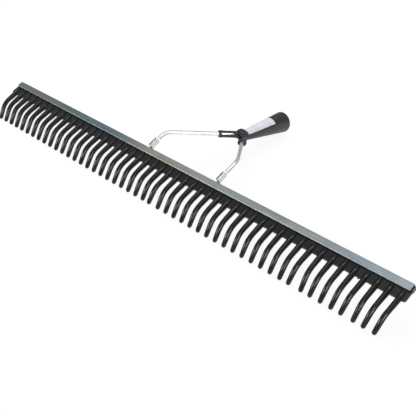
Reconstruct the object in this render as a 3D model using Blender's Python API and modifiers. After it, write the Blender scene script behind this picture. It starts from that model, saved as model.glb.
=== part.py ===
"""Rubber rake head: a galvanised C-channel that grips a moulded rubber comb, two folded
brackets riveted under it, a bent round bow and a plastic handle socket moulded over it.

Metres. X runs along the channel, Y from the tines back to the handle, Z is up.
The head stands as it does on the floor: on its tine tips and on the mouth of the socket.
The head parts are drawn in a flat head frame (x, along, up) that is then tilted."""
import bpy
import bmesh
from math import cos, pi, radians, sin, tan
from mathutils import Matrix, Vector

GAP = 0.0003                    # clearance left between touching pieces
HEAD_TILT = radians(20.0)       # the comb's web above the floor, leaning back

# rubber comb
TINE_COUNT = 49
TINE_PITCH = 0.020
TINE_R_ROOT = 0.0049
TINE_R_BEND = 0.0047
TINE_R_TIP = 0.0042
TINE_BEND_START = -0.018        # along the head, where the straight root ends
TINE_BEND_R = 0.034
TINE_BEND_ANGLE = radians(38.5)
TINE_STRAIGHT = 0.0187          # from the bend to the start of the rounded tip
ROOT_TALL = 0.0062              # half the height of a root, which is oval
LEAN_END = 0.0060               # how far the outermost tips lean in
LEAN_CURVE = 5                  # how late along the comb that lean grows
LEAN_ALONG = 1.6                # how late along a tine
LEAN_ODD = {24: -0.0035, 40: -0.0025, 41: 0.0025, 45: -0.0015, 46: 0.0015}
RIB_SINK = 0.0007               # a rib stops this far in front of the channel
RIB_ROUND = 0.0030              # length of a rib's rounded end
RIB_R_END = 0.0028
RIB_R = 0.0046
WEB_T = 0.0040
WEB_FRONT = 0.0020              # front edge of the web between the tines
WEB_CORNER_R = 0.0045
COMB_OVERHANG = 0.0028          # rubber showing past each end of the channel
BEAD_CORNER_R = 0.0030
NUB_GAP = 44                    # a moulding nub hangs in the gap after this tine
NUB_R = 0.0014
NUB_R_END = 0.0011
NUB_LENGTH = 0.0022
NUB_ROOT = 0.0020               # how deep it sits in the web

# channel
RAIL_LENGTH = 0.9755
RAIL_FRONT = 0.0200
RAIL_WIDTH = 0.0137
RAIL_HEIGHT = 0.0130
RAIL_T = 0.0012
RAIL_BEND_R = 0.0014            # on the sheet's middle surface
LIP_GAP_HALF = 0.0034           # half the slot that the web comes out of

# brackets and rivets
BRACKET_X = 0.0874
BRACKET_T = 0.0012
TAB_HALF_WIDTH = 0.0140
TAB_LENGTH = 0.0125
TAB_CHAMFER = 0.0020
NECK_TAPER = 0.0025             # from the tab's full width to the neck's
STEP_FROM = 0.0035              # the neck steps down between these two lengths
STEP_TO = 0.0008                # in front of the trough
TROUGH_START = 0.0420
TROUGH_END = 0.0612
TROUGH_INSIDE = 0.0048
TROUGH_TOP = 0.0003
FOLD_R = 0.0009
RIVET_X = 0.0080                # each side of the bracket's middle
RIVET_R = 0.0020
RIVET_HEAD_R = 0.0040
RIVET_HEAD_H = 0.0013
RIVET_TAIL_R = 0.0031
RIVET_TAIL_H = 0.0014
RIVET_EDGE = 0.0004

# bow
ROD_R = 0.0040
BEND_LEFT = 0.0851              # along the head, where the rod turns in
BEND_RIGHT = 0.0973
BOW_BEND_R = 0.032
BOW_NOSE_R = 0.011
NOSE_RISE = 0.0023              # the rod passes above the socket's axis
ROD_LEVEL = -0.0048             # its legs against the web's middle plane
BLADE_T = 0.0042                # the flattened ends
BLADE_H = 0.0082
BLADE_RUN = 0.0034

# handle socket
SOCKET_TILT = radians(-7.9)
MOUTH_Y = 0.3318                # middle of the mouth, from the web's front edge
MOUTH_R = 0.0215
MOUTH_ROUND = 0.0014
MOUTH_WALL = 0.0033
SOCKET_LENGTH = 0.1230          # from the mouth to where the bow's legs would meet
NECK_R = 0.0100
BORE_DEPTH = 0.0980
BORE_FLOOR_R = 0.0082
HUB_R = 0.0115
HUB_TALL = 0.0115
HUB_FORWARD = 0.0090            # middle of the hub in front of where the legs would meet
HUB_RISE = 0.0022               # and above the rod's axis
SLEEVE_LENGTH = 0.0520
SLEEVE_START = 0.0020
SLEEVE_R = 0.0080
SLEEVE_FLAT = 0.81              # height of a sleeve against its width
SLEEVE_GROW = 1.06              # its width at the hub against its width at the collar
COLLAR_R = 0.0087
COLLAR_ROUND = 0.0010
COLLAR_LENGTH = 0.0060
COLLAR_RUN = 0.0030
COLLAR_BORE_R = 0.0056
COLLAR_BORE_DEPTH = 0.0035
GUSSET_T = 0.0070
GUSSET_REACH = 0.0330
GUSSET_HOLLOW = 0.74            # how far out its front edge reaches in the middle
WINDOW_FROM_LEFT = 0.0215       # from where the legs would meet
WINDOW_FROM_RIGHT = 0.0100
WINDOW_TO = 0.0475
WINDOW_WIDTH = 0.0072
WINDOW_CORNER_R = 0.0029
WINDOW_TURN = radians(28.0)     # above the inner side of the sleeve
WINDOW_SINK = 0.0005            # its floor above the rod's axis
WINDOW_REACH = 0.0160           # the cut's length outward from there
SCREW_FROM_MOUTH = 0.0310
SCREW_HOLE_R = 0.0040
SCREW_SINK_R = 0.0072
SCREW_SINK_DEPTH = 0.0026
SCREW_SINK_FLARE = 0.0006

# label
LABEL_T = 0.00025
LABEL_FROM = 0.0420             # from the mouth
LABEL_TO = 0.1195
LABEL_TURN_WIDE = radians(52.0)
LABEL_TURN_NARROW = radians(62.0)

# how finely round shapes are drawn
TINE_ROUNDS = 2                 # a curve has twice this many sides and four more
ROD_ROUNDS = 6
TINE_BEND_STEPS = 3
CORNER_STEPS = 4
FOLD_STEPS = 3
ROD_BEND_STEPS = 6
NOSE_STEPS = 10
SOCKET_SIDES = 40
HUB_SIDES = 28
HUB_RINGS = 8
SLEEVE_SIDES = 24
HOLE_SIDES = 20
RIVET_SIDES = 20
POST_SIDES = 16
CUT_SPARE = 0.0020              # how far a cutter runs past the surface that it opens

RAIL_BACK = RAIL_FRONT + RAIL_WIDTH
RAIL_MID = RAIL_FRONT + RAIL_WIDTH / 2
RAIL_UNDER = -RAIL_HEIGHT / 2
TAB_TOP = RAIL_UNDER - GAP
TAIL_BASE = RAIL_UNDER + RAIL_T + GAP
TAIL_TOP = TAIL_BASE + RIVET_TAIL_H
TROUGH_FLOOR = ROD_LEVEL - ROD_R - GAP
BLADE_END = TROUGH_END + 2 * GAP
SHARP = radians(40.0)           # edges that turn more than this stay sharp


def bend_end():
    along = TINE_BEND_START - TINE_BEND_R * sin(TINE_BEND_ANGLE)
    up = -TINE_BEND_R * (1 - cos(TINE_BEND_ANGLE))
    return along, up


def tip_middle():
    along, up = bend_end()
    along -= TINE_STRAIGHT * cos(TINE_BEND_ANGLE)
    up -= TINE_STRAIGHT * sin(TINE_BEND_ANGLE)
    return along, up


def head_height():
    """The web's height above the floor at its front edge when the tips touch the floor."""
    along, up = tip_middle()
    return TINE_R_TIP - along * sin(HEAD_TILT) - up * cos(HEAD_TILT)


HEAD = Matrix.Translation((0, 0, head_height())) @ Matrix.Rotation(HEAD_TILT, 4, "X")
MOUTH_Z = MOUTH_R * cos(SOCKET_TILT)
SOCKET = Matrix.Translation((0, MOUTH_Y, MOUTH_Z)) @ Matrix.Rotation(SOCKET_TILT, 4, "X")

for old in list(bpy.data.objects):
    bpy.data.objects.remove(old, do_unlink=True)
PARTS = bpy.data.collections.new("rubber_rake")
CUTTERS = bpy.data.collections.new("cutters")
bpy.context.scene.collection.children.link(PARTS)
bpy.context.scene.collection.children.link(CUTTERS)


def material(name, colour, metallic, roughness):
    mat = bpy.data.materials.new(name)
    mat.use_nodes = True
    shader = mat.node_tree.nodes["Principled BSDF"]
    shader.inputs["Base Color"].default_value = (*colour, 1.0)
    shader.inputs["Metallic"].default_value = metallic
    shader.inputs["Roughness"].default_value = roughness
    return mat


def add(name, mesh, mat, matrix=None):
    ob = bpy.data.objects.new(name, mesh)
    PARTS.objects.link(ob)
    ob.matrix_world = matrix or Matrix.Identity(4)
    mesh.materials.clear()
    mesh.materials.append(mat)
    return ob


def cutter(name, mesh, matrix=None):
    ob = bpy.data.objects.new(name, mesh)
    CUTTERS.objects.link(ob)
    ob.matrix_world = matrix or Matrix.Identity(4)
    ob.hide_render = True
    ob.display_type = "WIRE"
    return ob


def boolean(ob, other, operation):
    mod = ob.modifiers.new(other.name, "BOOLEAN")
    mod.object = other
    mod.operation = operation
    mod.solver = "EXACT"
    return mod


def mesh_from(bm, name):
    """Round surfaces are shaded smooth, and sharp edges stay sharp."""
    mesh = bpy.data.meshes.new(name)
    bm.to_mesh(mesh)
    bm.free()
    mesh.shade_smooth()
    mesh.set_sharp_from_angle(angle=SHARP)
    return mesh


def thicken(ob, thickness):
    """Sheet metal or paper: equal thickness on both sides of the drawn surface."""
    sheet = ob.modifiers.new("sheet", "SOLIDIFY")
    sheet.thickness = thickness
    sheet.offset = 0.0
    sheet.use_even_offset = True


def frozen(ob, name):
    """The evaluated mesh of a helper object, in the object's own frame."""
    bpy.context.view_layer.update()
    graph = bpy.context.evaluated_depsgraph_get()
    mesh = bpy.data.meshes.new_from_object(ob.evaluated_get(graph))
    data = ob.data
    bpy.data.objects.remove(ob, do_unlink=True)
    if isinstance(data, bpy.types.Curve):
        bpy.data.curves.remove(data)
    bm = bmesh.new()
    bm.from_mesh(mesh)
    bmesh.ops.remove_doubles(bm, verts=bm.verts, dist=1e-6)
    bmesh.ops.recalc_face_normals(bm, faces=bm.faces)
    bpy.data.meshes.remove(mesh)
    return mesh_from(bm, name)


def tubes(name, paths, radius, rounds):
    """One bevelled curve: each path is a list of (point, share of the radius)."""
    curve = bpy.data.curves.new(name, "CURVE")
    curve.dimensions = "3D"
    curve.bevel_depth = radius
    curve.bevel_resolution = rounds
    curve.render_resolution_u = 0
    curve.use_fill_caps = True
    curve.twist_mode = "MINIMUM"
    for path in paths:
        spline = curve.splines.new("POLY")
        spline.points.add(len(path) - 1)
        for point, (place, share) in zip(spline.points, path):
            point.co = (*place, 1.0)
            point.radius = share
    ob = bpy.data.objects.new(name, curve)
    CUTTERS.objects.link(ob)
    return frozen(ob, name)


def plate(name, outline, half_depth):
    """A flat outline filled and extruded by half_depth each way along its own Z."""
    curve = bpy.data.curves.new(name, "CURVE")
    curve.dimensions = "2D"
    curve.fill_mode = "BOTH"
    curve.extrude = half_depth
    curve.render_resolution_u = 0
    spline = curve.splines.new("POLY")
    spline.points.add(len(outline) - 1)
    for point, (u, v) in zip(spline.points, outline):
        point.co = (u, v, 0, 1)
    spline.use_cyclic_u = True
    ob = bpy.data.objects.new(name, curve)
    CUTTERS.objects.link(ob)
    return frozen(ob, name)


def lathe(name, profile, steps):
    """A closed solid turned about Z from (radius, height) points, top to bottom."""
    mesh = bpy.data.meshes.new(name)
    verts = [(r, 0, z) for r, z in profile]
    mesh.from_pydata(verts, [(i, i + 1) for i in range(len(verts) - 1)], [])
    ob = bpy.data.objects.new(name, mesh)
    CUTTERS.objects.link(ob)
    mod = ob.modifiers.new("turn", "SCREW")
    mod.steps = steps
    mod.render_steps = steps
    mod.use_merge_vertices = True
    mod.merge_threshold = 1e-6
    solid = frozen(ob, name + "_solid")
    bpy.data.meshes.remove(mesh)
    return solid


def round_corners(corners, radius, steps):
    """Turn the corners of a closed outline that are marked 1 into arcs."""
    out = []
    count = len(corners)
    for i, (u, v, rounded) in enumerate(corners):
        if not rounded:
            out.append((u, v))
            continue
        here = Vector((u, v))
        before = (Vector(corners[i - 1][:2]) - here).normalized()
        after = (Vector(corners[(i + 1) % count][:2]) - here).normalized()
        out.extend(arc_between(here, before, after, radius, steps))
    return [tuple(p) for p in out]


def arc_between(corner, before, after, radius, steps):
    """Points of an arc that turns from one direction to the other near a corner."""
    half = before.angle(after) / 2
    reach = radius / tan(half)
    middle = corner + (before + after).normalized() * (radius / sin(half))
    start = corner + before * reach - middle
    end = corner + after * reach - middle
    sweep = start.angle(end)
    points = []
    for k in range(steps + 1):
        share = k / steps
        a = sin((1 - share) * sweep) / sin(sweep)
        b = sin(share * sweep) / sin(sweep)
        points.append(middle + start * a + end * b)
    return points


def move(mesh, matrix):
    mesh.transform(matrix)
    return mesh


RUBBER = material("black_rubber", (0.022, 0.022, 0.024), 0.0, 0.45)
ZINC_SHEET = material("galvanised_sheet", (0.50, 0.53, 0.53), 0.9, 0.42)
ZINC_ROD = material("zinc_plated_rod", (0.66, 0.69, 0.70), 1.0, 0.28)
BRACKET_ZINC = material("zinc_plated_bracket", (0.60, 0.62, 0.61), 1.0, 0.36)
RIVET_STEEL = material("rivet_steel", (0.58, 0.59, 0.60), 1.0, 0.32)
PLASTIC = material("black_plastic", (0.030, 0.030, 0.032), 0.0, 0.50)
PAPER = material("white_label", (0.86, 0.86, 0.88), 0.0, 0.45)

ACROSS = Matrix(((0, 0, 1, 0), (1, 0, 0, 0), (0, 1, 0, 0), (0, 0, 0, 1)))


# rubber comb

def tine_place(index):
    return (index - (TINE_COUNT - 1) / 2) * TINE_PITCH


def tine_lean(index):
    share = tine_place(index) / tine_place(TINE_COUNT - 1)
    return -LEAN_END * share ** LEAN_CURVE + LEAN_ODD.get(index, 0.0)


def tine_path(index):
    """A tine from the end of its rib to its rounded tip, in the head frame."""
    rib_end = RAIL_FRONT - RIB_SINK
    root = WEB_FRONT + WEB_T / 2
    run = [(rib_end, 0.0, RIB_R_END), (rib_end - RIB_ROUND, 0.0, RIB_R), (root, 0.0, TINE_R_ROOT)]
    for k in range(TINE_BEND_STEPS + 1):
        turn = TINE_BEND_ANGLE * k / TINE_BEND_STEPS
        along = TINE_BEND_START - TINE_BEND_R * sin(turn)
        up = -TINE_BEND_R * (1 - cos(turn))
        run.append((along, up, TINE_R_BEND))
    along, up = tip_middle()
    run.append((along, up, TINE_R_TIP))
    for share in (0.62, 0.98):
        ahead = TINE_R_TIP * share
        r = TINE_R_TIP * (1 - share ** 2) ** 0.5
        run.append((along - ahead * cos(TINE_BEND_ANGLE), up - ahead * sin(TINE_BEND_ANGLE), r))
    length = WEB_FRONT - run[-1][0]
    path = []
    for along, up, r in run:
        share = max(0.0, (WEB_FRONT - along) / length)
        x = tine_place(index) + tine_lean(index) * share ** LEAN_ALONG
        path.append((Vector((x, along, up)), r / TINE_R_ROOT))
    return path


def heighten_roots(mesh):
    """The round roots become tall ovals, which fade out where the tines start to bend."""
    for vert in mesh.vertices:
        share = (vert.co.y - TINE_BEND_START) / (WEB_FRONT - TINE_BEND_START)
        if share > 0:
            vert.co.z *= 1 + (ROOT_TALL / TINE_R_ROOT - 1) * min(1.0, share)
    return mesh


def comb():
    half = RAIL_LENGTH / 2 + COMB_OVERHANG
    inside_front = RAIL_FRONT + RAIL_T + GAP
    inside_back = RAIL_BACK - RAIL_T - GAP
    bead_half = RAIL_HEIGHT / 2 - RAIL_T - GAP
    web_back = (inside_front + inside_back) / 2
    corners = [(-half, WEB_FRONT, 1), (half, WEB_FRONT, 1), (half, web_back, 0), (-half, web_back, 0)]
    web = plate("comb", round_corners(corners, WEB_CORNER_R, CORNER_STEPS), WEB_T / 2)
    ob = add("comb", web, RUBBER, HEAD)
    corners = [(inside_front, -bead_half, 1), (inside_back, -bead_half, 1),
               (inside_back, bead_half, 1), (inside_front, bead_half, 1)]
    bead = plate("comb_bead", round_corners(corners, BEAD_CORNER_R, CORNER_STEPS), half)
    boolean(ob, cutter("comb_bead", move(bead, ACROSS), HEAD), "UNION")
    paths = [tine_path(i) for i in range(TINE_COUNT)]
    tines = heighten_roots(tubes("comb_tines", paths, TINE_R_ROOT, TINE_ROUNDS))
    boolean(ob, cutter("comb_tines", tines, HEAD), "UNION")
    x = tine_place(NUB_GAP) + TINE_PITCH / 2 + NUB_R
    nub = [(Vector((x, WEB_FRONT + NUB_ROOT, 0)), 1.0),
           (Vector((x, WEB_FRONT - NUB_LENGTH, 0)), NUB_R_END / NUB_R)]
    boolean(ob, cutter("comb_nub", tubes("comb_nub", [nub], NUB_R, TINE_ROUNDS), HEAD), "UNION")
    pockets = rivet_posts("comb_pockets", RIVET_TAIL_R + 2 * GAP, RAIL_UNDER, TAIL_TOP + GAP)
    boolean(ob, cutter("comb_pockets", pockets, HEAD), "DIFFERENCE")
    return ob


# channel

def rivet_places():
    return [(side * BRACKET_X + step * RIVET_X, RAIL_MID) for side in (-1, 1) for step in (-1, 1)]


def rivet_posts(name, radius, low, high):
    """Four round posts at the rivets, for the holes and the pockets."""
    bm = bmesh.new()
    for x, along in rivet_places():
        place = Matrix.Translation((x, along, (low + high) / 2))
        bmesh.ops.create_cone(bm, cap_ends=True, segments=POST_SIDES, radius1=radius, radius2=radius,
                              depth=high - low, matrix=place)
    mesh = bpy.data.meshes.new(name)
    bm.to_mesh(mesh)
    bm.free()
    return mesh


def rail():
    front = RAIL_FRONT + RAIL_T / 2
    back = RAIL_BACK - RAIL_T / 2
    top = RAIL_HEIGHT / 2 - RAIL_T / 2
    lip = LIP_GAP_HALF
    corners = [(front, lip), (front, top), (back, top), (back, -top), (front, -top), (front, -lip)]
    section = [Vector(corners[0])]
    for i in range(1, len(corners) - 1):
        here = Vector(corners[i])
        before = (Vector(corners[i - 1]) - here).normalized()
        after = (Vector(corners[i + 1]) - here).normalized()
        section.extend(arc_between(here, before, after, RAIL_BEND_R, FOLD_STEPS))
    section.append(Vector(corners[-1]))
    bm = bmesh.new()
    chain = [bm.verts.new((-RAIL_LENGTH / 2, p.x, p.y)) for p in section]
    edges = [bm.edges.new((a, b)) for a, b in zip(chain, chain[1:])]
    grown = bmesh.ops.extrude_edge_only(bm, edges=edges)
    moved = [v for v in grown["geom"] if isinstance(v, bmesh.types.BMVert)]
    bmesh.ops.translate(bm, verts=moved, vec=(RAIL_LENGTH, 0, 0))
    bmesh.ops.recalc_face_normals(bm, faces=bm.faces)
    ob = add("rail", mesh_from(bm, "rail"), ZINC_SHEET, HEAD)
    thicken(ob, RAIL_T)
    holes = rivet_posts("rail_holes", RIVET_R + GAP, RAIL_UNDER - RAIL_T, RAIL_UNDER + 2 * RAIL_T)
    boolean(ob, cutter("rail_holes", holes, HEAD), "DIFFERENCE")
    return ob


# brackets and rivets

def bracket(side, name):
    """A wide tab under the channel that steps down into a narrow open trough."""
    middle = side * BRACKET_X
    tab_level = TAB_TOP - BRACKET_T / 2
    low_level = TROUGH_FLOOR - BRACKET_T / 2
    half = TROUGH_INSIDE / 2 + BRACKET_T / 2
    tab_start = RAIL_MID - TAB_LENGTH / 2
    tab_end = RAIL_MID + TAB_LENGTH / 2
    rows = [(tab_start, tab_level, TAB_HALF_WIDTH - TAB_CHAMFER),
            (tab_start + TAB_CHAMFER, tab_level, TAB_HALF_WIDTH),
            (tab_end, tab_level, TAB_HALF_WIDTH),
            (tab_end + NECK_TAPER, tab_level, half),
            (TROUGH_START - STEP_FROM, tab_level, half),
            (TROUGH_START - STEP_TO, low_level, half),
            (TROUGH_START, low_level, half),
            (TROUGH_END, low_level, half)]
    bm = bmesh.new()
    pairs = []
    for along, up, wide in rows:
        pairs.append([bm.verts.new((middle + s * wide, along, up)) for s in (-1, 1)])
    for a, b in zip(pairs, pairs[1:]):
        bm.faces.new((a[0], a[1], b[1], b[0]))
    for s in (0, 1):
        near, far = pairs[-2][s], pairs[-1][s]
        top = [bm.verts.new((v.co.x, v.co.y, TROUGH_TOP)) for v in (near, far)]
        bm.faces.new((near, far, top[1], top[0]))
    bmesh.ops.recalc_face_normals(bm, faces=bm.faces)
    folds = [e for e in bm.edges if len(e.link_faces) == 2 and e.calc_face_angle() > SHARP / 2]
    bmesh.ops.bevel(bm, geom=folds, offset=FOLD_R, offset_type="OFFSET", segments=2,
                    profile=0.5, affect="EDGES")
    ob = add(name, mesh_from(bm, name), BRACKET_ZINC, HEAD)
    thicken(ob, BRACKET_T)
    holes = rivet_posts(name + "_holes", RIVET_R + GAP, TAB_TOP - 2 * BRACKET_T, TAB_TOP + BRACKET_T)
    boolean(ob, cutter(name + "_holes", holes, HEAD), "DIFFERENCE")
    return ob


def rivets():
    """Dome heads under the tabs, and tails set over inside the channel."""
    head_top = TAB_TOP - BRACKET_T - GAP
    head_low = head_top - RIVET_HEAD_H
    crown = RIVET_HEAD_R * 0.6
    profile = [(0, TAIL_TOP), (RIVET_TAIL_R - 2 * RIVET_EDGE, TAIL_TOP), (RIVET_TAIL_R, TAIL_TOP - RIVET_EDGE),
               (RIVET_TAIL_R, TAIL_BASE), (RIVET_R, TAIL_BASE), (RIVET_R, head_top),
               (RIVET_HEAD_R, head_top), (RIVET_HEAD_R - RIVET_EDGE, head_top - RIVET_HEAD_H / 2),
               (crown, head_low + RIVET_EDGE / 2), (0, head_low)]
    mesh = lathe("rivet", profile, RIVET_SIDES)
    for number, (x, along) in enumerate(rivet_places(), 1):
        add("rivet_%d" % number, mesh, RIVET_STEEL, HEAD @ Matrix.Translation((x, along, 0)))


# bow

MEET = SOCKET @ Vector((0, -SOCKET_LENGTH, NOSE_RISE))


def bow_corners():
    """Where the rod's straight runs would meet: end, bend, nose, bend, end."""
    tail = TROUGH_START + 2 * GAP
    places = [(-BRACKET_X, tail), (-BRACKET_X, BEND_LEFT), None, (BRACKET_X, BEND_RIGHT), (BRACKET_X, tail)]
    return [MEET if p is None else HEAD @ Vector((p[0], p[1], ROD_LEVEL)) for p in places]


def blade_points(side):
    """Extra rings where a pressed end turns into the round rod."""
    places = [(side * BRACKET_X, BLADE_END + BLADE_RUN * share, ROD_LEVEL) for share in (0, 0.5, 1)]
    return [HEAD @ Vector(place) for place in places]


def bow_line():
    """The rod's centre line, with its three rounded bends."""
    corners = bow_corners()
    line = [corners[0]]
    bends = ((1, BOW_BEND_R, ROD_BEND_STEPS), (2, BOW_NOSE_R, NOSE_STEPS), (3, BOW_BEND_R, ROD_BEND_STEPS))
    for i, radius, steps in bends:
        here = corners[i]
        before = (corners[i - 1] - here).normalized()
        after = (corners[i + 1] - here).normalized()
        line.extend(arc_between(here, before, after, radius, steps))
    line.append(corners[-1])
    return line


def bow():
    """A bent round rod whose two ends are pressed flat to fit the troughs."""
    line = bow_line()
    line[1:1] = blade_points(-1)
    line[-1:-1] = reversed(blade_points(1))
    mesh = tubes("bow", [[(p, 1.0) for p in line]], ROD_R, ROD_ROUNDS)
    back = HEAD.inverted()
    for vert in mesh.vertices:
        local = back @ vert.co
        middle = BRACKET_X if local.x > 0 else -BRACKET_X
        share = min(1.0, max(0.0, (BLADE_END + BLADE_RUN - local.y) / BLADE_RUN))
        share = share * share * (3 - 2 * share)
        if share > 0:
            thin = 1 + (BLADE_T / (2 * ROD_R) - 1) * share
            tall = 1 + (BLADE_H / (2 * ROD_R) - 1) * share
            lift = (BLADE_H / 2 - ROD_R) * share
            local.x = middle + (local.x - middle) * thin
            local.z = ROD_LEVEL + lift + (local.z - ROD_LEVEL) * tall
            vert.co = HEAD @ local
    return add("bow", mesh, ZINC_ROD)


# handle socket

UPRIGHT = Matrix.Rotation(radians(-90), 4, "X")         # turns Z onto the socket's outward axis


def cone_radius(from_mouth):
    return MOUTH_R + (NECK_R - MOUTH_R) * from_mouth / SOCKET_LENGTH


def leg_directions():
    """For each leg: its direction from the nose, the inner direction across it and the upper one."""
    corners = bow_corners()
    out = []
    for i in (1, 3):
        run = (corners[i] - MEET).normalized()
        other = (corners[4 - i] - MEET).normalized()
        up = run.cross(other).normalized()
        if up.z < 0:
            up = -up
        inner = (other - run * run.dot(other)).normalized()
        out.append((run, inner, up))
    return out


def frame_matrix(place, along, across):
    """Z along the first direction, X along the second."""
    third = along.cross(across)
    rows = [(across[i], third[i], along[i], place[i]) for i in range(3)]
    return Matrix((*rows, (0, 0, 0, 1)))


def hub(legs):
    """The dome over the rod's nose."""
    profile = []
    for k in range(HUB_RINGS + 1):
        turn = pi / 2 - pi * k / HUB_RINGS
        profile.append((HUB_R * abs(cos(turn)) if 0 < k < HUB_RINGS else 0.0, HUB_TALL * sin(turn)))
    (left, _, up), (right, _, _) = legs
    forward = (left + right).normalized()
    place = MEET + forward * HUB_FORWARD + up * HUB_RISE
    return cutter("socket_hub", lathe("socket_hub", profile, HUB_SIDES), frame_matrix(place, up, forward))


def sleeve(name, leg):
    """An oval sleeve round one leg, with a collar at its end."""
    run, inner, up = leg
    collar_start = SLEEVE_LENGTH - COLLAR_LENGTH
    profile = [(0, SLEEVE_LENGTH), (COLLAR_R - COLLAR_ROUND, SLEEVE_LENGTH),
               (COLLAR_R, SLEEVE_LENGTH - COLLAR_ROUND), (COLLAR_R, collar_start),
               (SLEEVE_R, collar_start - COLLAR_RUN), (SLEEVE_R * SLEEVE_GROW, SLEEVE_START), (0, SLEEVE_START)]
    mesh = move(lathe(name, profile, SLEEVE_SIDES), Matrix.Diagonal((1, SLEEVE_FLAT, 1, 1)))
    return cutter(name, mesh, frame_matrix(MEET, run, inner))


def gusset(legs):
    """The flat web that fills the corner between the sleeves."""
    (left, _, up), (right, _, _) = legs
    plane = frame_matrix(MEET, up, (right - left).normalized())
    tips = [(plane.inverted() @ (MEET + run * GUSSET_REACH)).to_2d() for run in (left, right)]
    middle = (tips[0] + tips[1]) / 2 * GUSSET_HOLLOW
    mesh = plate("socket_gusset", [(0, 0), tuple(tips[0]), tuple(middle), tuple(tips[1])], GUSSET_T / 2)
    return cutter("socket_gusset", mesh, plane)


def window(name, leg, start):
    """A long slot that bares the rod on the upper inner side of a sleeve."""
    run, inner, up = leg
    half_run = (WINDOW_TO - start) / 2
    half = WINDOW_WIDTH / 2
    corners = [(-half_run, -half, 1), (half_run, -half, 1), (half_run, half, 1), (-half_run, half, 1)]
    slot = plate(name, round_corners(corners, WINDOW_CORNER_R, CORNER_STEPS), WINDOW_REACH / 2)
    facing = inner * cos(WINDOW_TURN) + up * sin(WINDOW_TURN)
    middle = MEET + run * (start + half_run) + facing * (WINDOW_SINK + WINDOW_REACH / 2)
    return cutter(name, slot, frame_matrix(middle, facing, run))


def collar_bore(name, leg):
    """The wider mouth that the rod leaves the sleeve through."""
    run, inner, _ = leg
    start = SLEEVE_LENGTH - COLLAR_BORE_DEPTH
    end = SLEEVE_LENGTH + CUT_SPARE
    profile = [(0, end), (COLLAR_BORE_R, end), (COLLAR_BORE_R, start), (0, start)]
    return cutter(name, lathe(name, profile, SLEEVE_SIDES), frame_matrix(MEET, run, inner))


def screw_hole():
    skin = cone_radius(SCREW_FROM_MOUTH)
    profile = [(0, skin + CUT_SPARE), (SCREW_SINK_R + SCREW_SINK_FLARE, skin + CUT_SPARE),
               (SCREW_SINK_R, skin), (SCREW_HOLE_R, skin - SCREW_SINK_DEPTH), (SCREW_HOLE_R, 0), (0, 0)]
    place = SOCKET @ Matrix.Translation((0, -SCREW_FROM_MOUTH, 0))
    return cutter("socket_screw_hole", lathe("socket_screw_hole", profile, HOLE_SIDES), place)


def socket():
    profile = [(0, 0), (MOUTH_R - MOUTH_ROUND, 0), (MOUTH_R - MOUTH_ROUND * 0.3, -MOUTH_ROUND * 0.3),
               (MOUTH_R, -MOUTH_ROUND), (NECK_R, -SOCKET_LENGTH), (0, -SOCKET_LENGTH)]
    ob = add("socket", lathe("socket", profile, SOCKET_SIDES), PLASTIC, SOCKET @ UPRIGHT)
    legs = leg_directions()
    sides = list(zip(("left", "right"), legs, (WINDOW_FROM_LEFT, WINDOW_FROM_RIGHT)))
    boolean(ob, hub(legs), "UNION")
    for side, leg, _ in sides:
        boolean(ob, sleeve("socket_sleeve_" + side, leg), "UNION")
    boolean(ob, gusset(legs), "UNION")
    bore_r = MOUTH_R - MOUTH_WALL
    bore = [(0, CUT_SPARE), (bore_r, CUT_SPARE), (bore_r, 0), (BORE_FLOOR_R, -BORE_DEPTH), (0, -BORE_DEPTH)]
    boolean(ob, cutter("socket_bore", lathe("socket_bore", bore, SOCKET_SIDES), SOCKET @ UPRIGHT), "DIFFERENCE")
    rod = tubes("socket_rod", [[(p, 1.0) for p in bow_line()]], ROD_R + GAP, ROD_ROUNDS)
    boolean(ob, cutter("socket_rod", rod), "DIFFERENCE")
    for side, leg, start in sides:
        boolean(ob, window("socket_window_" + side, leg, start), "DIFFERENCE")
        boolean(ob, collar_bore("socket_collar_" + side, leg), "DIFFERENCE")
    boolean(ob, screw_hole(), "DIFFERENCE")
    return ob


# label

def label():
    """A blank sheet wrapped over the top of the cone, wider in angle where the cone is thinner."""
    bm = bmesh.new()
    bmesh.ops.create_grid(bm, x_segments=14, y_segments=6, size=1)
    for vert in bm.verts:
        share = (vert.co.y + 1) / 2
        back = LABEL_FROM + (LABEL_TO - LABEL_FROM) * share
        turn = vert.co.x * (LABEL_TURN_WIDE + (LABEL_TURN_NARROW - LABEL_TURN_WIDE) * share)
        r = cone_radius(back) + GAP + LABEL_T / 2
        vert.co = (r * sin(turn), -back, r * cos(turn))
    ob = add("label", mesh_from(bm, "label"), PAPER, SOCKET)
    thicken(ob, LABEL_T)
    return ob


comb()
rail()
bracket(-1, "bracket_left")
bracket(1, "bracket_right")
rivets()
bow()
socket()
label()

# bring the middle of the footprint to the origin
bpy.context.view_layer.update()
graph = bpy.context.evaluated_depsgraph_get()
corners = []
for ob in PARTS.objects:
    solid = ob.evaluated_get(graph)
    corners.extend(solid.matrix_world @ v.co for v in solid.data.vertices)
middle = [(min(c[i] for c in corners) + max(c[i] for c in corners)) / 2 for i in (0, 1)]
shift = Matrix.Translation((-middle[0], -middle[1], 0))
for ob in list(PARTS.objects) + list(CUTTERS.objects):
    ob.matrix_world = shift @ ob.matrix_world
bpy.context.view_layer.update()
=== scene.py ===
from math import radians

import bpy
from mathutils import Matrix, Vector

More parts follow.
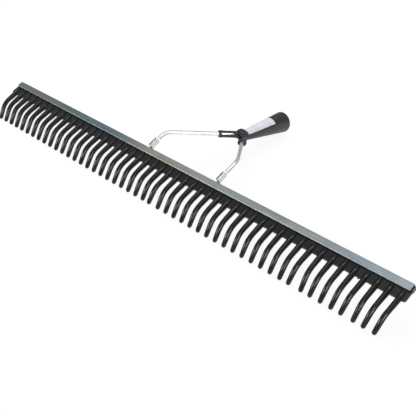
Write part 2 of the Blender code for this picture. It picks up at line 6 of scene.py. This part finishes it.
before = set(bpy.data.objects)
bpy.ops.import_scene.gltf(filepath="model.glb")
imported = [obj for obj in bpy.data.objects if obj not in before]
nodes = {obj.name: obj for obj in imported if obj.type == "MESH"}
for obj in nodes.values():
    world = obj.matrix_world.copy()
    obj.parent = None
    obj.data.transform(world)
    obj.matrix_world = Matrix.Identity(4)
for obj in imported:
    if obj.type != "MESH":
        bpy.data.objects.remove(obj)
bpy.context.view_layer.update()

# The photograph's camera: metres, degrees, and millimetres for the lens and the sensor.
CAMERA_AT = (0.82713, -0.90272, 0.75922)
CAMERA_YAW = 43.664
CAMERA_PITCH = 35.150
CAMERA_ROLL = -0.083
CAMERA_LENS = 63.61
CAMERA_SENSOR = 36.0
CAMERA_SEES_TO = 100.0

# These nodes are shaded smooth, but for their sharp edges.
SMOOTH_NODES = ("comb", "rail", "bow", "socket", "label", "bracket_left", "bracket_right")
JOIN_WITHIN = 0.00001           # metres between corners that are one corner
SHARP_FROM = 50.0               # an edge that turns by more degrees than this stays sharp

# A pair of tones or roughnesses: where the surface's own noise is low, and where it is high.
RUBBER_TONES = ((0.0035, 0.0035, 0.0040), (0.0080, 0.0080, 0.0088))
RUBBER_ROUGHNESS = (0.16, 0.28)
RUBBER_SPECULAR = 0.34

PLASTIC_TONES = ((0.012, 0.012, 0.013), (0.020, 0.020, 0.022))
PLASTIC_ROUGHNESS = (0.40, 0.50)

PAPER_TONES = ((0.60, 0.61, 0.66), (0.70, 0.71, 0.75))
PAPER_ROUGHNESS = (0.42, 0.55)

BRACKET_TONES = ((0.56, 0.59, 0.56), (0.74, 0.77, 0.74))
BRACKET_ROUGHNESS = (0.30, 0.44)
RIVET_TONES = ((0.45, 0.46, 0.46), (0.60, 0.60, 0.60))
RIVET_ROUGHNESS = (0.30, 0.40)
ROD_TONES = ((0.66, 0.69, 0.72), (0.74, 0.76, 0.78))
ROD_ROUGHNESS = (0.20, 0.26)
PLATED_METALLIC = 0.85

# The channel's painted reflection from left to right, darker at the left and lighter and bluer at the
# right, and the pairs that tint, streak and speckle it.
RAIL_PAINTED_REFLECTION = (
    (0.00, (0.200, 0.235, 0.235)),
    (0.26, (0.185, 0.225, 0.235)),
    (0.375, (0.220, 0.250, 0.250)),
    (0.42, (0.290, 0.290, 0.275)),
    (0.62, (0.310, 0.320, 0.300)),
    (0.78, (0.330, 0.345, 0.340)),
    (1.00, (0.320, 0.350, 0.370)),
)
RAIL_PAINTED_REFLECTION_REACH = 0.5          # metres from the middle to the first and the last of them
RAIL_TINTS = ((1.09, 1.04, 0.93), (0.90, 0.99, 1.07))
RAIL_STREAKS = (0.80, 1.16)
RAIL_FLAKES = (0.93, 1.06)
RAIL_ROUGHNESS = (0.38, 0.52)
RAIL_METALLIC = 0.75

FLOOR_SIZE = 30.0
FLOOR_GREY = 0.9
FLOOR_OWN_LIGHT = 0.92          # share of plain white in what is seen of the floor

# How bright the sky is at the sines of some angles above the horizon, as shares of SKY_STRENGTH.
SKY_SHARES = ((0.00, 0.13), (0.70, 0.28), (0.93, 0.32), (0.97, 0.95))
SKY_STRENGTH = 2.0
SKY_TONE = (0.97, 0.98, 1.0)
WHITE = 1.0

# Each lamp's name, place, width and height, watts, and which rays don't see it.
LAMPS = (
    ("key", (-0.9, 0.9, 2.2), (1.8, 1.2), 30, "visible_glossy"),
    ("fill", (1.6, -1.6, 1.6), (0.5, 1.4), 18, None),
    ("strip_left", (-1.2, -1.9, 0.7), (1.8, 0.4), 30, "visible_diffuse"),
    ("strip_right", (2.2, -1.3, 0.6), (1.8, 0.4), 30, "visible_diffuse"),
    ("strip_top", (1.2, 0.45, 2.0), (1.2, 0.6), 9, "visible_diffuse"),
)

# Blender's Mix node has sockets for each type of value, and those for colours have these numbers.
MIX_SHARE = 0
MIX_A = 6
MIX_B = 7
MIX_RESULT = 2


def add_node(tree, kind, inputs=None, **settings):
    """Adds a node. Each input, by name or number, gets a value or the socket that feeds it."""
    node = tree.nodes.new(kind)
    for name, value in settings.items():
        setattr(node, name, value)
    for key, value in (inputs or {}).items():
        if isinstance(value, bpy.types.NodeSocket):
            tree.links.new(value, node.inputs[key])
        else:
            node.inputs[key].default_value = value
    return node


def opaque(tone):
    """A grey or a colour as red, green, blue and alpha."""
    colour = (tone,) * 3 if isinstance(tone, float) else tone
    return (*colour, 1.0)


def ramp(tree, source, stops):
    """Turns a value into a tone by (value, grey or colour) stops."""
    node = add_node(tree, "ShaderNodeValToRGB", {"Fac": source})
    elements = node.color_ramp.elements
    elements.remove(elements[-1])
    for i, (place, tone) in enumerate(stops):
        element = elements.new(place) if i else elements[0]
        element.position = place
        element.color = opaque(tone)
    return node.outputs["Color"]


class Look:
    """A procedural material. Its methods add nodes and give back the socket with the result."""

    def __init__(self, name):
        self.material = bpy.data.materials.new(name)
        self.material.use_nodes = True
        self.tree = self.material.node_tree
        self.tree.nodes.clear()
        self.place = add_node(self.tree, "ShaderNodeTexCoord").outputs["Object"]

    def stretched(self, stretch):
        """The place on the part, with its X, Y and Z multiplied."""
        mapping = add_node(self.tree, "ShaderNodeMapping", {"Vector": self.place, "Scale": stretch})
        return mapping.outputs["Vector"]

    def noise(self, scale, detail, roughness, stretch=(1, 1, 1)):
        node = add_node(self.tree, "ShaderNodeTexNoise", {
            "Vector": self.stretched(stretch),
            "Scale": scale,
            "Detail": detail,
            "Roughness": roughness,
        })
        return node.outputs["Fac"]

    def fade(self, source, pair, start=0.3, end=0.7):
        """Goes from the first to the second of a pair while the source goes from start to end."""
        return ramp(self.tree, source, zip((start, end), pair))

    def multiply(self, tone, layer):
        node = add_node(self.tree, "ShaderNodeMix", {MIX_SHARE: 1.0, MIX_A: tone, MIX_B: layer},
                        data_type="RGBA", blend_type="MULTIPLY")
        return node.outputs[MIX_RESULT]

    def bump(self, height, strength, distance, over=None):
        """Raises the surface by a height, over another bump where there is one."""
        inputs = {"Height": height, "Strength": strength, "Distance": distance}
        if over:
            inputs["Normal"] = over
        return add_node(self.tree, "ShaderNodeBump", inputs).outputs["Normal"]

    def finish(self, inputs):
        """Ends the material with a Principled shader that has these inputs."""
        shader = add_node(self.tree, "ShaderNodeBsdfPrincipled", inputs)
        add_node(self.tree, "ShaderNodeOutputMaterial", {"Surface": shader.outputs["BSDF"]})
        return self.material


def rubber():
    """Moulded black rubber: slightly uneven in tone and gloss, with a fine grain."""
    look = Look("rubber")
    cloud = look.noise(scale=38, detail=4, roughness=0.6)
    grain = look.noise(scale=900, detail=2, roughness=0.6)
    uneven = look.bump(cloud, strength=0.15, distance=0.0005)
    return look.finish({
        "Base Color": look.fade(cloud, RUBBER_TONES, end=0.72),
        "Roughness": look.fade(cloud, RUBBER_ROUGHNESS),
        "Specular IOR Level": RUBBER_SPECULAR,
        "Normal": look.bump(grain, strength=0.06, distance=0.0001, over=uneven),
    })


def zinc_sheet():
    """Galvanised sheet: a painted reflection in zones along it, tinted patches, streaks of rolling and
    flakes.
    """
    look = Look("zinc_sheet")
    flakes = add_node(look.tree, "ShaderNodeTexVoronoi",
                      {"Vector": look.stretched((0.5, 1, 1)), "Scale": 90})
    streaks = look.noise(scale=30, detail=5, roughness=0.6, stretch=(0.12, 1.6, 1.6))
    patches = look.noise(scale=7, detail=3, roughness=0.5, stretch=(1, 2, 2))
    split = add_node(look.tree, "ShaderNodeSeparateXYZ", {"Vector": look.place})
    along = add_node(look.tree, "ShaderNodeMapRange", {
        "Value": split.outputs["X"],
        "From Min": -RAIL_PAINTED_REFLECTION_REACH,
        "From Max": RAIL_PAINTED_REFLECTION_REACH,
    })
    layers = (
        look.fade(patches, RAIL_TINTS, start=0.38, end=0.62),
        look.fade(streaks, RAIL_STREAKS, start=0.35, end=0.65),
        look.fade(flakes.outputs["Color"], RAIL_FLAKES, start=0.1, end=0.9),
    )
    # The tone along the channel is a painted reflection, darker at its left end and lighter at its right.
    tone = ramp(look.tree, along.outputs["Result"], RAIL_PAINTED_REFLECTION)
    for layer in layers:
        tone = look.multiply(tone, layer)
    return look.finish({
        "Base Color": tone,
        "Metallic": RAIL_METALLIC,
        "Roughness": look.fade(streaks, RAIL_ROUGHNESS),
        "Normal": look.bump(streaks, strength=0.12, distance=0.0004),
    })


def plated_steel(name, tones, roughness):
    """Zinc plated steel: a little cloudy, with a fine grain."""
    look = Look(name)
    cloud = look.noise(scale=60, detail=4, roughness=0.6)
    grain = look.noise(scale=700, detail=2, roughness=0.5)
    return look.finish({
        "Base Color": look.fade(cloud, tones),
        "Metallic": PLATED_METALLIC,
        "Roughness": look.fade(cloud, roughness),
        "Normal": look.bump(grain, strength=0.04, distance=0.00005),
    })


def black_plastic():
    """Moulded plastic with a grained skin."""
    look = Look("black_plastic")
    cloud = look.noise(scale=45, detail=3, roughness=0.5)
    grain = look.noise(scale=1500, detail=2, roughness=0.7)
    return look.finish({
        "Base Color": look.fade(cloud, PLASTIC_TONES),
        "Roughness": look.fade(grain, PLASTIC_ROUGHNESS),
        "Normal": look.bump(grain, strength=0.35, distance=0.0001),
    })


def label_paper():
    """Blank coated paper with a faint fibre."""
    look = Look("label_paper")
    cloud = look.noise(scale=40, detail=3, roughness=0.5)
    fibre = look.noise(scale=1200, detail=3, roughness=0.6)
    return look.finish({
        "Base Color": look.fade(cloud, PAPER_TONES),
        "Roughness": look.fade(fibre, PAPER_ROUGHNESS),
        "Normal": look.bump(fibre, strength=0.1, distance=0.00005),
    })


def dress(material, *names):
    """Gives the named CAD nodes their material."""
    for name in names:
        for slot in nodes[name].material_slots:
            slot.material = material


def smooth_shading():
    """Nodes that join a mesh's split corners and shade it smooth, but for its sharp edges."""
    tree = bpy.data.node_groups.new("smooth_shading", "GeometryNodeTree")
    for side in ("INPUT", "OUTPUT"):
        tree.interface.new_socket("Geometry", in_out=side, socket_type="NodeSocketGeometry")
    start = add_node(tree, "NodeGroupInput")
    joined = add_node(tree, "GeometryNodeMergeByDistance",
                      {"Geometry": start.outputs[0], "Distance": JOIN_WITHIN})
    angle = add_node(tree, "GeometryNodeInputMeshEdgeAngle")
    sharp = add_node(tree, "FunctionNodeCompare",
                     {0: angle.outputs["Unsigned Angle"], 1: radians(SHARP_FROM)},
                     data_type="FLOAT", operation="GREATER_THAN")
    smooth = add_node(tree, "GeometryNodeSetShadeSmooth",
                      {"Geometry": joined.outputs[0], "Shade Smooth": True}, domain="FACE")
    edged = add_node(tree, "GeometryNodeSetShadeSmooth",
                     {"Geometry": smooth.outputs[0], "Selection": sharp.outputs[0], "Shade Smooth": False},
                     domain="EDGE")
    add_node(tree, "NodeGroupOutput", {0: edged.outputs[0]})
    return tree


def white_floor():
    """A white floor with a faint shadow: what sees it directly also sees some light of its own."""
    bpy.ops.mesh.primitive_plane_add(size=FLOOR_SIZE, location=(0, 0, 0))
    floor = bpy.context.object
    floor.name = "floor"
    material = bpy.data.materials.new("floor_white")
    material.use_nodes = True
    floor.data.materials.append(material)
    tree = material.node_tree
    tree.nodes.clear()
    matt = add_node(tree, "ShaderNodeBsdfDiffuse", {"Color": opaque(FLOOR_GREY)})
    glow = add_node(tree, "ShaderNodeEmission", {"Color": opaque(WHITE), "Strength": WHITE})
    rays = add_node(tree, "ShaderNodeLightPath").outputs
    seen = rays["Is Camera Ray"]
    for kind in ("Is Glossy Ray", "Is Transmission Ray"):
        either = add_node(tree, "ShaderNodeMath", {0: seen, 1: rays[kind]}, operation="MAXIMUM")
        seen = either.outputs[0]
    share = add_node(tree, "ShaderNodeMath", {0: seen, 1: FLOOR_OWN_LIGHT}, operation="MULTIPLY")
    mix = add_node(tree, "ShaderNodeMixShader",
                   {0: share.outputs[0], 1: matt.outputs[0], 2: glow.outputs[0]})
    add_node(tree, "ShaderNodeOutputMaterial", {"Surface": mix.outputs[0]})


def studio_world():
    """A sky that is bright overhead, and plain white where the camera sees it."""
    world = bpy.data.worlds.new("studio")
    bpy.context.scene.world = world
    world.use_nodes = True
    tree = world.node_tree
    tree.nodes.clear()
    bearing = add_node(tree, "ShaderNodeTexCoord")
    split = add_node(tree, "ShaderNodeSeparateXYZ", {"Vector": bearing.outputs["Generated"]})
    share = ramp(tree, split.outputs["Z"], SKY_SHARES)
    strength = add_node(tree, "ShaderNodeMath", {0: share, 1: SKY_STRENGTH}, operation="MULTIPLY")
    sky = add_node(tree, "ShaderNodeBackground",
                   {"Color": opaque(SKY_TONE), "Strength": strength.outputs[0]})
    white = add_node(tree, "ShaderNodeBackground", {"Strength": WHITE})
    rays = add_node(tree, "ShaderNodeLightPath").outputs
    mix = add_node(tree, "ShaderNodeMixShader",
                   {0: rays["Is Camera Ray"], 1: sky.outputs[0], 2: white.outputs[0]})
    add_node(tree, "ShaderNodeOutputWorld", {"Surface": mix.outputs[0]})


def lamp(name, at, size, watts, unseen_by):
    """A rectangular lamp that points at the middle of the floor."""
    data = bpy.data.lights.new(name, "AREA")
    data.shape = "RECTANGLE"
    data.size, data.size_y = size
    data.energy = watts
    ob = bpy.data.objects.new(name, data)
    ob.location = at
    ob.rotation_mode = "QUATERNION"
    ob.rotation_quaternion = (-Vector(at)).to_track_quat("-Z", "Y")
    if unseen_by:
        setattr(ob, unseen_by, False)
    bpy.context.scene.collection.objects.link(ob)


def photograph_camera():
    data = bpy.data.cameras.new("camera")
    data.sensor_width = CAMERA_SENSOR
    data.lens = CAMERA_LENS
    data.clip_end = CAMERA_SEES_TO
    camera = bpy.data.objects.new("camera", data)
    bpy.context.scene.collection.objects.link(camera)
    turn = (Matrix.Rotation(radians(CAMERA_YAW), 3, "Z")
            @ Matrix.Rotation(radians(90 - CAMERA_PITCH), 3, "X")
            @ Matrix.Rotation(radians(CAMERA_ROLL), 3, "Z"))
    camera.matrix_world = Matrix.Translation(CAMERA_AT) @ turn.to_4x4()
    bpy.context.scene.camera = camera


dress(rubber(), "comb")
dress(zinc_sheet(), "rail")
dress(plated_steel("zinc_bracket", BRACKET_TONES, BRACKET_ROUGHNESS), "bracket_left", "bracket_right")
dress(plated_steel("rivet_steel", RIVET_TONES, RIVET_ROUGHNESS), "rivet_1", "rivet_2", "rivet_3", "rivet_4")
dress(plated_steel("zinc_rod", ROD_TONES, ROD_ROUGHNESS), "bow")
dress(black_plastic(), "socket")
dress(label_paper(), "label")

shading = smooth_shading()
for name in SMOOTH_NODES:
    nodes[name].modifiers.new("smooth_shading", "NODES").node_group = shading

white_floor()
studio_world()
for settings in LAMPS:
    lamp(*settings)
photograph_camera()

bpy.context.scene.view_settings.view_transform = "Standard"
